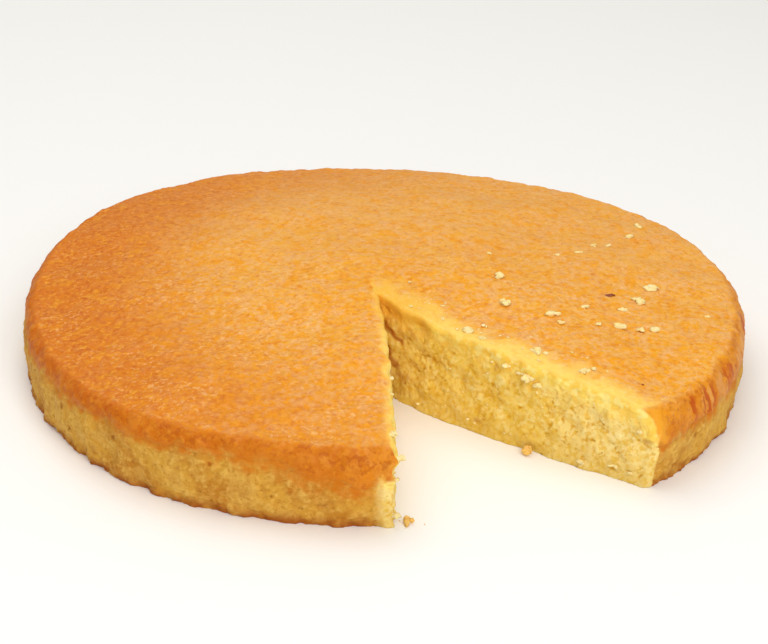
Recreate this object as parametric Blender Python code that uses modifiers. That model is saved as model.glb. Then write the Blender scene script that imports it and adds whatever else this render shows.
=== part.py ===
"""Lemon cake: a low round sponge, browned on top, with one slice already cut out of it.

One solid. A half section is turned, warped to the uneven form of a baked cake, and a wedge whose
faces are as rough as torn crumb is cut from it. The origin is the middle of the flat underside,
+Z is up, and the slice is missing towards -Y and +X. Sizes are in millimetres and angles in
degrees up to the last step, where a mesh is made in metres.
"""

import math

import bmesh
import bpy
import numpy as np

MM = 0.001

# The turned form: what the cake would be if it were quite round and even.
CRUST_RADIUS = 120.0
BASE_RADIUS = 118.4
HEIGHT_AT_MIDDLE = 34.2
HEIGHT_AT_RIM = 24.2
SHOULDER_WIDTH = 5.7
SHOULDER_HEIGHT = 12.9
DOME_POWER = 1.6
DOME_SOFTNESS = 0.12
TURNED_HEM_HEIGHT = 11.3
CRUST_STEP = 0.7
FOOT_CHAMFER = 0.5
SIDE_ROWS = (0.88, 0.68, 0.46, 0.24)
DOME_RINGS = 12
SHOULDER_STEPS = 6
TURN_STEPS = 150

# Slow waves round the edge: (crests in a turn, height of a crest, azimuth of one crest).
RADIUS_WAVES = ((2, 1.9, -27.0), (3, 1.0, -1.0), (4, 0.9, 38.0), (5, 0.8, 27.0))
RIM_HEIGHT_WAVES = ((1, 0.5, -46.0), (2, 0.9, -48.0), (3, 0.9, 33.0), (4, 0.7, -27.0))

# The crust's lower edge: (azimuth, height), with fine waves of its own.
HEM_POINTS = (
    (-52.0, 11.0),
    (-38.0, 13.8),
    (-20.0, 14.6),
    (0.0, 12.0),
    (45.0, 15.0),
    (95.0, 13.5),
    (140.0, 17.0),
    (180.0, 20.0),
    (240.0, 20.0),
    (256.0, 20.5),
    (264.0, 14.8),
    (275.0, 15.5),
)
HEM_RIPPLE = 0.7
HEM_RIPPLE_SIZE = 11.0

# The cut: two knife faces that meet at a tip short of the middle.
TIP = (-1.3, -27.6)
LEFT_CUT_AZIMUTH = -86.4
RIGHT_CUT_AZIMUTH = -37.5
LEFT_BOW = 1.1
RIGHT_BOW = 4.0
BOW_SKEW = 0.7
TIP_LIFT = 0.4
TIP_LIFT_REACH = 18.0
CUT_OVERRUN = 14.0
CUT_STEP = 4.0
CUT_BELOW = -6.0
CUT_ABOVE = 46.0
RIGHT_FOOT_FLARE = 1.1
RIGHT_FOOT_FLARE_HEIGHT = 12.0
RIGHT_FOOT_FLARE_FROM = 35.0

# Relief: (height, size of a bump) in mm.
TOP_SWELL = (0.55, 42.0)
TOP_BUMPS = (0.15, 24.0)
SIDE_LUMPS = (0.4, 12.0)
FOOT_LOBES = (0.55, 9.0)
FOOT_LOBE_HEIGHT = 7.0
CRUMB_RELIEF = (0.45, 8.0)
RIPPLE_WAVES = 14

CRUST_COLOUR = (0.77, 0.38, 0.075)
CRUMB_COLOUR = (0.80, 0.60, 0.17)


def ripple(points, size, seed):
    """A smooth random field, about -1 to 1: a sum of cosines that run in seeded directions."""
    rng = np.random.default_rng(seed)
    direction = rng.normal(size=(RIPPLE_WAVES, 3))
    direction /= np.linalg.norm(direction, axis=1, keepdims=True)
    pitch = size * rng.uniform(0.75, 1.35, RIPPLE_WAVES)
    phase = rng.uniform(0.0, 2.0 * math.pi, RIPPLE_WAVES)
    angle = points @ (2.0 * math.pi * direction / pitch[:, None]).T + phase
    return np.cos(angle).sum(axis=-1) / math.sqrt(RIPPLE_WAVES)


def waves(azimuth, table):
    """The sum of the table's waves at each azimuth, in mm."""
    return sum(high * np.cos(count * (azimuth - math.radians(crest))) for count, high, crest in table)


def smooth(low, high, value):
    """0 below low, 1 above high, with a soft step between."""
    share = np.clip((value - low) / (high - low), 0.0, 1.0)
    return share * share * (3.0 - 2.0 * share)


def hem_height(azimuth):
    """Height of the crust's lower edge at each azimuth."""
    angles, heights = zip(*HEM_POINTS)
    slow = np.interp(azimuth, np.radians(angles), heights, period=2.0 * math.pi)
    edge = CRUST_RADIUS * np.stack([np.cos(azimuth), np.sin(azimuth), 0.0 * azimuth], axis=-1)
    return slow + HEM_RIPPLE * ripple(edge, HEM_RIPPLE_SIZE, 11)


def dome(radius):
    """Height of the turned form's top at each radius inside the shoulder."""
    power = DOME_POWER / 2.0
    soft = DOME_SOFTNESS**2
    share = radius / (CRUST_RADIUS - SHOULDER_WIDTH)
    fall = ((share**2 + soft) ** power - soft**power) / ((1.0 + soft) ** power - soft**power)
    return HEIGHT_AT_MIDDLE - (HEIGHT_AT_MIDDLE - HEIGHT_AT_RIM) * fall


def side_radius(height):
    """Radius of the crust's side at each height: a quarter ellipse on a leaning wall."""
    waist = HEIGHT_AT_RIM - SHOULDER_HEIGHT
    rise = np.clip((height - waist) / SHOULDER_HEIGHT, 0.0, 1.0)
    shoulder = CRUST_RADIUS - SHOULDER_WIDTH * (1.0 - np.sqrt(1.0 - rise**2))
    wall = BASE_RADIUS + (CRUST_RADIUS - BASE_RADIUS) * height / waist
    return np.where(height > waist, shoulder, wall)


def half_section():
    """(radius, height) points from the middle of the top, down the outer side, to the middle below."""
    flat_radius = CRUST_RADIUS - SHOULDER_WIDTH
    points = [(r, float(dome(r))) for r in np.linspace(0.0, flat_radius, DOME_RINGS)]
    for step in range(1, SHOULDER_STEPS + 1):
        drop = 1.0 - math.cos(0.5 * math.pi * step / SHOULDER_STEPS)
        height = HEIGHT_AT_RIM - (HEIGHT_AT_RIM - TURNED_HEM_HEIGHT) * drop
        points.append((float(side_radius(height)), height))
    for share in SIDE_ROWS:
        height = share * TURNED_HEM_HEIGHT
        points.append((float(side_radius(height)) - CRUST_STEP, height))
    points.append((BASE_RADIUS - CRUST_STEP, FOOT_CHAMFER))
    points.append((BASE_RADIUS - CRUST_STEP - FOOT_CHAMFER, 0.0))
    points.append((0.0, 0.0))
    return points


def side_heights(azimuth, height):
    """Heights on the side, stretched so that the crust's lower edge comes to its own height."""
    hem = hem_height(azimuth)
    below = height * hem / TURNED_HEM_HEIGHT
    above = (height - TURNED_HEM_HEIGHT) / (HEIGHT_AT_RIM - TURNED_HEM_HEIGHT)
    return np.where(height < TURNED_HEM_HEIGHT, below, hem + above * (HEIGHT_AT_RIM - hem))


def top_relief(points, radius):
    """Lift of the top: slow swells, smaller bumps and the raised tip of the cut."""
    inside = smooth(CRUST_RADIUS, CRUST_RADIUS - 2.0 * SHOULDER_WIDTH, radius)
    swell, swell_size = TOP_SWELL
    bump, bump_size = TOP_BUMPS
    lift = inside * (swell * ripple(points, swell_size, 1) + bump * ripple(points, bump_size, 2))
    from_tip = np.linalg.norm(points[:, :2] - TIP, axis=1)
    return lift + TIP_LIFT * np.exp(-((from_tip / TIP_LIFT_REACH) ** 2))


def side_relief(points, radius):
    """How far the side stands out: lumps all over it, and lobes along the foot."""
    outside = smooth(CRUST_RADIUS - 2.0 * SHOULDER_WIDTH, CRUST_RADIUS - 0.5 * SHOULDER_WIDTH, radius)
    lump, lump_size = SIDE_LUMPS
    lobe, lobe_size = FOOT_LOBES
    foot = smooth(FOOT_LOBE_HEIGHT, 0.0, points[:, 2])
    return outside * (lump * ripple(points, lump_size, 3) + foot * lobe * ripple(points, lobe_size, 4))


def baked(points):
    """The turned form's points moved to the uneven form of the baked cake; the underside stays flat."""
    x, y, z = points.T
    radius = np.hypot(x, y)
    azimuth = np.arctan2(y, x)
    on_side = (radius > CRUST_RADIUS - SHOULDER_WIDTH) & (z < HEIGHT_AT_RIM) & (z > FOOT_CHAMFER)
    height = np.where(on_side, side_heights(azimuth, z), z)
    out = np.where(on_side, side_radius(height) - side_radius(z), 0.0)
    out += waves(azimuth, RADIUS_WAVES) * radius / CRUST_RADIUS + side_relief(points, radius)
    rim_lift = waves(azimuth, RIM_HEIGHT_WAVES) * (radius / CRUST_RADIUS) ** DOME_POWER
    height += smooth(0.0, HEIGHT_AT_RIM, z) * (rim_lift + top_relief(points, radius))
    grow = 1.0 + out / np.maximum(radius, 1.0)
    return np.stack([x * grow, y * grow, height], axis=-1)


def new_object(name, mesh, collection):
    obj = bpy.data.objects.new(name, mesh)
    collection.objects.link(obj)
    return obj


def get_points(mesh):
    """The mesh's points in mm."""
    flat = np.empty(len(mesh.vertices) * 3)
    mesh.vertices.foreach_get("co", flat)
    return flat.reshape(-1, 3) / MM


def set_points(mesh, points):
    mesh.vertices.foreach_set("co", (points * MM).ravel())
    mesh.update()


def turned_form(collection):
    """The half section turned with a Screw, as a plain mesh."""
    profile = bpy.data.meshes.new("half_section")
    points = [(radius * MM, 0.0, height * MM) for radius, height in half_section()]
    profile.from_pydata(points, [(i, i + 1) for i in range(len(points) - 1)], [])
    guide = new_object("half_section", profile, collection)
    screw = guide.modifiers.new("turn", "SCREW")
    screw.steps = screw.render_steps = TURN_STEPS
    screw.use_merge_vertices = True
    screw.merge_threshold = 0.00001
    bpy.context.view_layer.update()
    turned = bpy.data.meshes.new_from_object(guide.evaluated_get(bpy.context.evaluated_depsgraph_get()))
    bpy.data.objects.remove(guide)
    bpy.data.meshes.remove(profile)
    return turned


def cut_line(azimuth, bow, side):
    """Plan points of one knife face from the tip to past the rim; side is which way the slice lay."""
    along = np.array([math.cos(azimuth), math.sin(azimuth)])
    across = side * np.array([-along[1], along[0]])
    tip = np.array(TIP)
    inward = tip @ along
    length = math.sqrt(inward**2 - tip @ tip + BASE_RADIUS**2) - inward
    steps = round((length + CUT_OVERRUN) / CUT_STEP)
    distance = np.linspace(0.0, length + CUT_OVERRUN, steps + 1)[1:, None]
    bulge = bow * np.sin(math.pi * np.clip(distance / length, 0.0, 1.0) ** BOW_SKEW)
    return tip + along * distance + across * bulge


def flare(points):
    """How far the right-hand knife face leans out into the gap near the foot, as plan vectors."""
    middle = math.radians(0.5 * (LEFT_CUT_AZIMUTH + RIGHT_CUT_AZIMUTH))
    right = math.radians(RIGHT_CUT_AZIMUTH)
    from_tip = points[:, :2] - TIP
    on_right = from_tip @ np.array([-math.sin(middle), math.cos(middle)]) > 0.0
    along = smooth(0.0, RIGHT_FOOT_FLARE_FROM, from_tip @ np.array([math.cos(right), math.sin(right)]))
    amount = RIGHT_FOOT_FLARE * smooth(RIGHT_FOOT_FLARE_HEIGHT, 0.0, points[:, 2]) * along
    return (amount * on_right)[:, None] * np.array([-math.sin(right), math.cos(right)])


def wedge_cutter(collection, material):
    """The missing slice: its plan drawn upwards in short steps, with rough faces."""
    left = cut_line(math.radians(LEFT_CUT_AZIMUTH), LEFT_BOW, 1.0)
    right = cut_line(math.radians(RIGHT_CUT_AZIMUTH), RIGHT_BOW, -1.0)
    plan = [np.array(TIP), *left, *right[::-1]]
    shape = bmesh.new()
    corners = [shape.verts.new((x * MM, y * MM, CUT_BELOW * MM)) for x, y in plan]
    cap = shape.faces.new(corners)
    levels = round((CUT_ABOVE - CUT_BELOW) / CUT_STEP)
    rise = (CUT_ABOVE - CUT_BELOW) / levels * MM
    for level in range(levels):
        raised = bmesh.ops.extrude_face_region(shape, geom=[cap])["geom"]
        if level > 0:
            bmesh.ops.delete(shape, geom=[cap], context="FACES_ONLY")
        cap = next(item for item in raised if isinstance(item, bmesh.types.BMFace))
        bmesh.ops.translate(shape, vec=(0.0, 0.0, rise), verts=list(cap.verts))
    bmesh.ops.recalc_face_normals(shape, faces=shape.faces)
    mesh = bpy.data.meshes.new("missing_slice")
    shape.to_mesh(mesh)
    shape.free()
    mesh.materials.append(material)

    points = get_points(mesh)
    height, size = CRUMB_RELIEF
    sideways = np.stack([ripple(points, size, 5), ripple(points, size, 6)], axis=-1)
    points[:, :2] += height * sideways - flare(points)
    set_points(mesh, points)
    cutter = new_object("missing_slice", mesh, collection)
    cutter.hide_render = True
    cutter.display_type = "WIRE"
    return cutter


def plain_material(name, colour, roughness):
    material = bpy.data.materials.new(name)
    material.use_nodes = True
    shader = material.node_tree.nodes["Principled BSDF"]
    shader.inputs["Base Color"].default_value = (*colour, 1.0)
    shader.inputs["Roughness"].default_value = roughness
    shader.inputs["Metallic"].default_value = 0.0
    material.diffuse_color = (*colour, 1.0)
    return material


def new_collection(name):
    collection = bpy.data.collections.new(name)
    bpy.context.scene.collection.children.link(collection)
    return collection


def lemon_cake():
    for obj in list(bpy.data.objects):
        bpy.data.objects.remove(obj)
    cake = new_collection("lemon_cake")
    cutters = new_collection("cutters")
    crust = plain_material("crust", CRUST_COLOUR, 0.45)
    crumb = plain_material("crumb", CRUMB_COLOUR, 0.9)

    mesh = turned_form(cake)
    set_points(mesh, baked(get_points(mesh)))
    mesh.name = "lemon_cake"
    mesh.materials.append(crust)
    mesh.shade_smooth()
    mesh.set_sharp_from_angle(angle=math.radians(40.0))
    body = new_object("lemon_cake", mesh, cake)

    cut = body.modifiers.new("slice_taken", "BOOLEAN")
    cut.operation = "DIFFERENCE"
    cut.solver = "EXACT"
    cut.material_mode = "TRANSFER"
    cut.object = wedge_cutter(cutters, crumb)


lemon_cake()
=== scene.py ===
"""Lemon cake with one slice taken, dressed for its picture.

The cake is two closed pieces that fill the solid's place: the sponge, with the torn crumb that the
knife opened, and the browned crust over its top and shoulder. Loose crumbs lie on it and beside it.
Sizes are in millimetres and angles in degrees until a mesh is written in metres. The origin is the
middle of the underside and +Z is up.
"""

import itertools
import math

import bpy
import numpy as np
from mathutils import Euler, Matrix


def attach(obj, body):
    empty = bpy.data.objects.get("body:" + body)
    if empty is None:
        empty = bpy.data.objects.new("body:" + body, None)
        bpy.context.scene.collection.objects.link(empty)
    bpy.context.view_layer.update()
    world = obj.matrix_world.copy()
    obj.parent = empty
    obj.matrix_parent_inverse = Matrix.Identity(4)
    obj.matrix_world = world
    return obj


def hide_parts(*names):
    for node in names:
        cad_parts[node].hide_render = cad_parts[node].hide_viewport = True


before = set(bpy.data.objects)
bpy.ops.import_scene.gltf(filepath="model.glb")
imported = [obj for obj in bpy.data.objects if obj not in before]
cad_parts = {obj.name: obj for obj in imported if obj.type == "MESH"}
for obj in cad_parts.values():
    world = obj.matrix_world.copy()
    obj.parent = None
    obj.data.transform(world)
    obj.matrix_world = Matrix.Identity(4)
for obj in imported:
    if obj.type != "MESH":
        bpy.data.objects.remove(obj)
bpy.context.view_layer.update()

MM = 0.001
TURN = 2.0 * math.pi
# The materials read depths, heights and gaps in centimetres. FAR is past any value they tell apart.
CM = 0.1
FAR = 9.0

# The cake's form, as its solid has it.
CRUST_RADIUS = 120.0
BASE_RADIUS = 118.4
HEIGHT_AT_MIDDLE = 34.2
HEIGHT_AT_RIM = 24.2
SHOULDER_WIDTH = 5.7
SHOULDER_HEIGHT = 12.9
DOME_POWER = 1.6
DOME_SOFTNESS = 0.12
FOOT_CHAMFER = 0.2

# Slow waves round the edge: (crests in a turn, height of a crest, azimuth of one crest).
RADIUS_WAVES = ((2, 1.9, -27.0), (3, 1.0, -1.0), (4, 0.9, 38.0), (5, 0.8, 27.0))
RIM_HEIGHT_WAVES = ((1, 0.5, -46.0), (2, 0.9, -48.0), (3, 0.9, 33.0), (4, 0.7, -27.0))

# The crust's lower edge: (azimuth, height), with fine waves of its own.
HEM_POINTS = (
    (-52.0, 13.2),
    (-38.0, 15.8),
    (-20.0, 16.4),
    (0.0, 14.0),
    (45.0, 15.0),
    (95.0, 13.5),
    (140.0, 17.0),
    (180.0, 20.0),
    (240.0, 20.0),
    (256.0, 20.5),
    (264.0, 14.8),
    (275.0, 15.5),
)
HEM_RIPPLE = 0.7
HEM_RIPPLE_SIZE = 11.0

# The cut: two knife faces that meet at a tip short of the middle. Each bows towards the opening, the
# more so near the tip where the skew is under 1.
TIP = (-1.3, -27.6)
LEFT_CUT_AZIMUTH = -86.4
RIGHT_CUT_AZIMUTH = -37.5
LEFT_BOW = 1.1
RIGHT_BOW = 4.0
BOW_SKEW = 0.7
# The top stands a little higher round the tip, and the right-hand face leans out near its foot, past
# this distance from the tip.
TIP_LIFT = 0.4
TIP_LIFT_REACH = 18.0
RIGHT_FOOT_FLARE = 1.1
RIGHT_FOOT_FLARE_HEIGHT = 12.0
RIGHT_FOOT_FLARE_FROM = 35.0
# Tears of the left-hand knife face near its outer edge: (depth, size, distance from the tip where they
# set in and where they are full).
EDGE_TEARS = (0.5, 6.0, 62.0, 84.0)

# Broad relief: (height, size of a bump).
TOP_SWELL = (0.55, 42.0)
TOP_BUMPS = (0.15, 24.0)
SIDE_LUMPS = (0.4, 12.0)
FOOT_LOBES = (0.55, 9.0)
FOOT_LOBE_HEIGHT = 7.0
CRUMB_RELIEF = (0.45, 8.0)
# How far in from the knife faces the cake still follows their relief.
KNIFE_REACH = 5.0
# Cosines in a ripple.
RIPPLE_WAVES = 14

# The sponge's mesh: columns along each knife face and round the rim, rows from foot to crust.
CUT_COLUMNS = 224
RIM_COLUMNS = 900
WALL_ROWS = 68
# The sponge's lowest rows never stand back under the row above, so that no gap opens at the foot.
FOOT_ROWS = 3
# The crust's mesh: rays from the tip of the cut, rows out to the shoulder, rows down to the hem, and
# the lip's columns down each knife face.
CRUST_RAYS = 768
CRUST_ROWS = 140
HEM_ROWS = 22
LIP_COLUMNS = 9
# Rows near the tip have fewer rays, down to this many. Rays crowd towards the knife faces, by this
# share and over this share of the turn.
FEWEST_RAYS = 6
RAY_CROWDING = 0.6
RAY_CROWDING_REACH = 0.02

# Under the crust the sponge stands back, and further back where the crust hides it: away from the
# corners, and from the first to the second of these heights above the crust's seam. Its relief fades
# out between the next two heights. Its upper edge turns in and down.
SPONGE_INSET = 0.6
SPONGE_INSET_HIDDEN = 1.6
HIDDEN_OFF_CORNER = 8.0
HIDDEN_OVER_SEAM = (1.0, 3.5)
COVERED_OVER_SEAM = (1.0, 2.2)
TOP_TUCK = 1.2
TOP_DROP = 0.9
# What the browned skin of the side adds to the depth under it, and how much faster than the height
# the depth grows below the crust's lower edge.
SIDE_SKIN = 0.8
PAST_HEM_STEEPNESS = 2.5
# The crust's sheet runs on below its browned edge to a seam, and moves in a little over this height
# above and below that edge. It has the side's own relief and colours there, and at the seam its
# border turns in under the sponge, so that no joint shows.
PALE_SKIN_INSET = 0.5
PALE_SKIN_STEP = 2.0
PALE_SKIN_HEIGHT = 2.6
BORDER_TUCK = 1.0
BORDER_DIVE = 1.6
# It runs down the knife faces too, as a lip with the torn crumb's relief and colours: round the edge
# by a quarter circle, then down in steps, a touch proud of the face. Below the flush part it dives
# into the sponge, by the last number times the square of the way on in mm.
EDGE_RADIUS = 1.3
ARC_COLUMNS = 3
LIP_STEP = 0.5
LIP_PROUD = 0.05
LIP_FLUSH = 2.8
LIP_DIVE = 0.4
# The lip hangs straight down along the top, and from this many rows before the shoulder on it turns,
# until at the hem it points level towards the tip.
LEAN_ROWS = 14.0
# Share of the turn over which the top's rays bend to follow the bow of a knife face.
BOW_FOLLOWING = 0.25
# The lip covers the sponge down to between these depths, and ends this far above the seam.
LIP_COVER = (2.9, 1.9)
LIP_OVER_SEAM = 1.2
# The knife's torn relief fades out between these distances from the cut, on the sponge and on the
# crust. The side grows rougher towards the foot between these heights.
SPONGE_TEAR = (3.2, 0.2)
CRUST_TEAR = (4.0, 0.5)
ROUGH_FOOT = (4.5, 0.5)
# Columns on each side of an outer corner over which the sponge is rounded.
CORNER_COLUMNS = 5
CORNER_STEPS = range(-CORNER_COLUMNS, CORNER_COLUMNS + 1)
# The middle points of the sponge's underside and hidden top and of the crust's underside, which all
# of the outline can see.
HUBS = ((-29.5, 25.4, 0.0), (-29.5, 25.4, 22.0))
CRUST_HUB = (-29.5, 25.4, 26.0)

# Plan directions away from the opening, into the cake: from the right-hand face, the tip and the
# left-hand face.
AWAY_ANGLES = {
    -1: RIGHT_CUT_AZIMUTH + 90.0,
    0: 0.5 * (LEFT_CUT_AZIMUTH + RIGHT_CUT_AZIMUTH) + 180.0,
    1: LEFT_CUT_AZIMUTH - 90.0,
}
AWAY = {
    side: np.array((math.cos(math.radians(angle)), math.sin(math.radians(angle))))
    for side, angle in AWAY_ANGLES.items()
}

# Height over which the browned edge fades into the pale side, and where it fades more slowly:
# (azimuth, half width, height).
FADE_REACH = 3.2
SLOW_FADE = (262.0, 16.0, 6.0)
# Where drips of syrup run down the shoulder: (azimuth, half width), the mean width of a drip, and the
# turned-form heights between which they set in.
DRIPPED = (-30.0, 34.0)
DRIP_WIDTH = 2.0
DRIP_HEIGHTS = (24.1, 20.5)
# The oven browned the top's left side most: the azimuth of the darkest place, and the radii between
# which the browning sets in.
TOAST_AZIMUTH = 178.0
TOAST_RADII = (25.0, 112.0)

# Crumbs on the top: (x, y, length). Fine ones are strewn among them.
TOP_CRUMBS = (
    (39, -31, 4.2),
    (38, -12, 3.5),
    (27, -49, 4.2),
    (54, -36, 3.8),
    (83, -18, 4.6),
    (88, -7, 4.2),
    (87, 40, 3.2),
    (91, 52, 3.2),
    (75, -38, 3.6),
    (81, -39, 3.0),
    (86, -38, 3.2),
    (77, -26, 3.0),
    (65, -27, 2.8),
    (68, -38, 2.2),
    (56, -41, 1.8),
    (105, -25, 1.8),
    (47, -61, 3.4),
    (50, -62, 2.2),
    (61, -71, 3.0),
    (64, -69, 2.0),
    (19, -42, 1.5),
    (19, -34, 1.3),
    (9, -36, 1.6),
    (9, -19, 1.5),
    (32, -45, 1.8),
    (31, -54, 2.2),
    (36, 8, 1.6),
    (59, 14, 2.0),
    (67, 17, 2.0),
    (73, 27, 2.2),
    (78, 29, 2.0),
)
# Each large crumb is made of this many lumps, moved by up to this share of its size.
CRUMB_LUMPS = 5
LUMP_SHIFT = 0.27
LUMP_SHARE = (0.5, 0.85)
# Fine crumbs on the top: how many, their lengths, how far from the tip they lie along the right-hand
# knife face, and off it at the least and how much more on average.
FINE_CRUMBS = 30
FINE_LENGTHS = (0.5, 1.2)
FINE_ALONG = (12.0, 112.0)
FINE_OFF = (2.0, 9.0)
# Crumbs that cling to the knife faces: (side, distance from the tip, height, length, how far out).
CUT_CRUMBS = (
    (-1, 61, 23.4, 4.0, 0.3),
    (-1, 64, 22.0, 4.0, 0.3),
    (-1, 53, 25.8, 2.8, 0.2),
    (-1, 57, 24.0, 2.2, 0.2),
    (-1, 80, 2.4, 2.6, 0.2),
    (-1, 91, 4.2, 2.4, 0.1),
    (-1, 96, 3.4, 2.0, 0.1),
    (-1, 98, 17.0, 1.8, 0.2),
    (1, 50, 28.0, 1.8, 0.4),
    (1, 58, 27.2, 1.6, 0.3),
    (1, 79, 24.6, 2.6, 0.1),
    (1, 85, 20.5, 3.0, 0.6),
    (1, 87, 14.5, 3.0, 0.0),
    (1, 87, 3.5, 3.2, 0.2),
)
# Fine ones among them: how many, their lengths, how far from the tip, at which shares of the height
# under the top, and the share of them on the right-hand face.
FINE_CUT_CRUMBS = 26
FINE_CUT_LENGTHS = (0.6, 1.5)
FINE_CUT_ALONG = (8.0, 90.0)
FINE_CUT_UP = (0.02, 0.97)
FINE_CUT_RIGHT = 0.6
# Crumbs on the ground: (x, y, length). They are compact, as these shares of the length say, and as
# warm in colour as the crumb by the crust.
FLOOR_CRUMBS = ((45, -71, 3.8), (8.8, -112.8, 3.2))
FLOOR_CRUMB_SHAPE = (1.0, 0.9, 0.95)
FLOOR_WARMTH = 1.0
# Fine ones beside them: how many, their lengths and how far they are spread.
FINE_FLOOR_CRUMBS = 5
FINE_FLOOR_LENGTHS = (0.4, 0.9)
FINE_FLOOR_SPREAD = 3.0
# Columns and rows of the meshes of a lump, a fine crumb and a fleck.
LUMP_GRID = (14, 9)
FINE_GRID = (10, 6)
FLECK_GRID = (20, 8)
# Scorched flecks on the top: (x, y, length, width, height, turn).
FLECKS = ((74, -16, 3.8, 1.9, 1.0, 0.3), (78, -74, 0.9, 0.8, 0.7, 0.0))
# Syrup smears and holes on the right-hand knife face, all painted as dark smears, so that on the
# holes the colour is painted shade: (distance from the tip and height of one end, then of the other,
# radius, strength).
CUT_STAINS_AND_HOLE_SHADE = (
    (4.0, 25.4, 7.2, 23.2, 1.6, 0.8),
    (7.2, 23.2, 11.0, 21.0, 1.4, 1.0),
    (15.0, 26.0, 17.0, 24.6, 1.7, 0.5),
    (10.0, 22.5, 15.5, 24.5, 2.2, 0.35),
    (5.6, 16.6, 7.2, 13.6, 1.5, 1.0),
    (7.2, 13.6, 9.6, 11.6, 1.4, 0.8),
    (7.0, 8.0, 16.0, 9.4, 2.0, 0.45),
    (17.6, 18.6, 22.6, 19.7, 0.7, 0.5),
    (23.6, 18.8, 27.0, 19.1, 0.7, 0.6),
    (48.4, 24.6, 49.0, 23.8, 1.4, 0.5),
    (36.5, 15.9, 36.5, 16.4, 1.5, 0.45),
    (41.0, 20.4, 42.0, 20.0, 1.3, 0.4),
    (43.0, 4.4, 43.8, 3.8, 1.3, 0.6),
    (62.0, 6.4, 64.5, 6.0, 1.2, 0.4),
    (99.8, 14.2, 101.4, 15.0, 1.2, 0.6),
    (101.2, 13.0, 101.8, 10.5, 1.1, 0.25),
)
# Scorched spots on the side and foot: (x, y, z, radius, strength).
SIDE_STAINS = (
    (-21, -117, 9.0, 1.3, 0.7),
    (-31, -115, 7.7, 1.1, 0.8),
    (-23, -117, 10.3, 0.9, 0.5),
    (-38, -112, 4.6, 1.1, 0.6),
    (-3, -119, 6.2, 1.3, 0.5),
    (-85, -83, 6.0, 1.6, 0.6),
    (-88, -80, 3.4, 1.7, 0.8),
    (-58, -104, 11.5, 1.0, 0.6),
    (-72, -95, 9.0, 0.9, 0.5),
)
# The top's fine stipple is fainter towards the back: (weakest share, y of the weakest, y of the full).
STIPPLE = (0.45, 45.0, -45.0)
# How many times as narrow the amber edge is at the left-hand knife face, how many mm of its width are
# missing there, and how many times as far the browning goes on down that face at the shoulder.
LEFT_EDGE_NARROWING = 2.4
LEFT_EDGE_FADING = 3.5
LEFT_EDGE_LENGTHENING = 3.0
# How far the side stays as pale as the crumb next to each knife face: right-hand, left-hand. Within
# the last distance it is all bare.
BARE_REACH = (1.6, 8.0)
BARE_WHOLE = 0.3

# The fine open grain of all of the cake's surfaces: size and depth.
GRAIN_SIZE = 0.8
GRAIN_DEPTH = 0.3

# The ground reaches this far to each side.
FLOOR_HALF = 3000.0

# The camera, fitted to the cake's outline and cut: its place, how far it looks down, how it is turned
# and tilted, and its lens.
CAMERA_PLACE = (0.0, -576.0, 280.2)
CAMERA_PITCH = 25.08
CAMERA_YAW = -0.077
CAMERA_ROLL = 0.995
CAMERA_LENS = 88.54
SENSOR_WIDTH = 36.0

# Even light from all round.
WORLD_STRENGTH = 0.46
# Soft square lights: (name, place, aim, side, power in watts).
LIGHTS = (
    ("overhead", (-250.0, 350.0, 1100.0), (0.0, 0.0, 0.0), 1000.0, 5.6),
    ("front", (300.0, -1010.0, 850.0), (0.0, 0.0, 0.0), 900.0, 9.9),
)


# ---------------------------------------------------------------------------------------------
# Fields and the cake's form


def ripple(points, size, seed):
    """A smooth random field, about -1 to 1: a sum of cosines that run in seeded directions."""
    rng = np.random.default_rng(seed)
    direction = rng.normal(size=(RIPPLE_WAVES, 3))
    direction /= np.linalg.norm(direction, axis=1, keepdims=True)
    pitch = size * rng.uniform(0.75, 1.35, RIPPLE_WAVES)
    phase = rng.uniform(0.0, TURN, RIPPLE_WAVES)
    angle = points @ (TURN * direction / pitch[:, None]).T + phase
    return np.cos(angle).sum(axis=-1) / math.sqrt(RIPPLE_WAVES)


def waves(azimuth, table):
    """The sum of the table's waves at each azimuth, in mm."""
    return sum(high * np.cos(count * (azimuth - math.radians(crest))) for count, high, crest in table)


def smooth(low, high, value):
    """0 below low, 1 above high, with a soft step between."""
    share = np.clip((value - low) / (high - low), 0.0, 1.0)
    return share * share * (3.0 - 2.0 * share)


def scattered(cells, seed):
    """Four even random numbers from 0 to 1 for each whole-number cell, from its mixed-up bits."""
    with np.errstate(over="ignore"):
        mixed = np.full(cells.shape[:-1], seed * 2654435761 % 2**32, np.uint32)
        for axis, odd in enumerate((73856093, 19349663, 83492791)):
            mixed ^= cells[..., axis].astype(np.uint32) * np.uint32(odd)
        numbers = []
        for _ in range(4):
            mixed = (mixed ^ (mixed >> np.uint32(16))) * np.uint32(0x45D9F3B)
            mixed = (mixed ^ (mixed >> np.uint32(15))) * np.uint32(0x2C1B3C6D)
            numbers.append((mixed ^ (mixed >> np.uint32(16))) / 2.0**32)
    return np.stack(numbers, axis=-1)


def strewn(points, size, seed):
    """One point is strewn in each cube of a grid. Returns how far the nearest is, in cube sides, and
    that point's own random number."""
    scaled = points / size
    home = np.floor(scaled).astype(np.int64)
    near = np.full(scaled.shape[:-1], 9.0)
    own = np.zeros_like(near)
    for step in itertools.product((-1, 0, 1), repeat=3):
        cell = home + step
        random = scattered(cell, seed)
        gap = np.linalg.norm(cell + random[..., :3] - scaled, axis=-1)
        own = np.where(gap < near, random[..., 3], own)
        near = np.minimum(gap, near)
    return near, own


def pits(points, size, smallest, largest, seed):
    """Round pits strewn one to a cube: 1 in the middle of a pit, 0 outside its radius."""
    near, own = strewn(points, size, seed)
    radius = (smallest + (largest - smallest) * own**2) / size
    return smooth(radius, 0.35 * radius, near)


def bend(points, size, amount, seed):
    """The points, each moved by a ripple in all three directions, so that what is strewn on them has
    uneven shapes."""
    shift = [ripple(points, size, seed + axis) for axis in range(3)]
    return points + amount * np.stack(shift, axis=-1)


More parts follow.
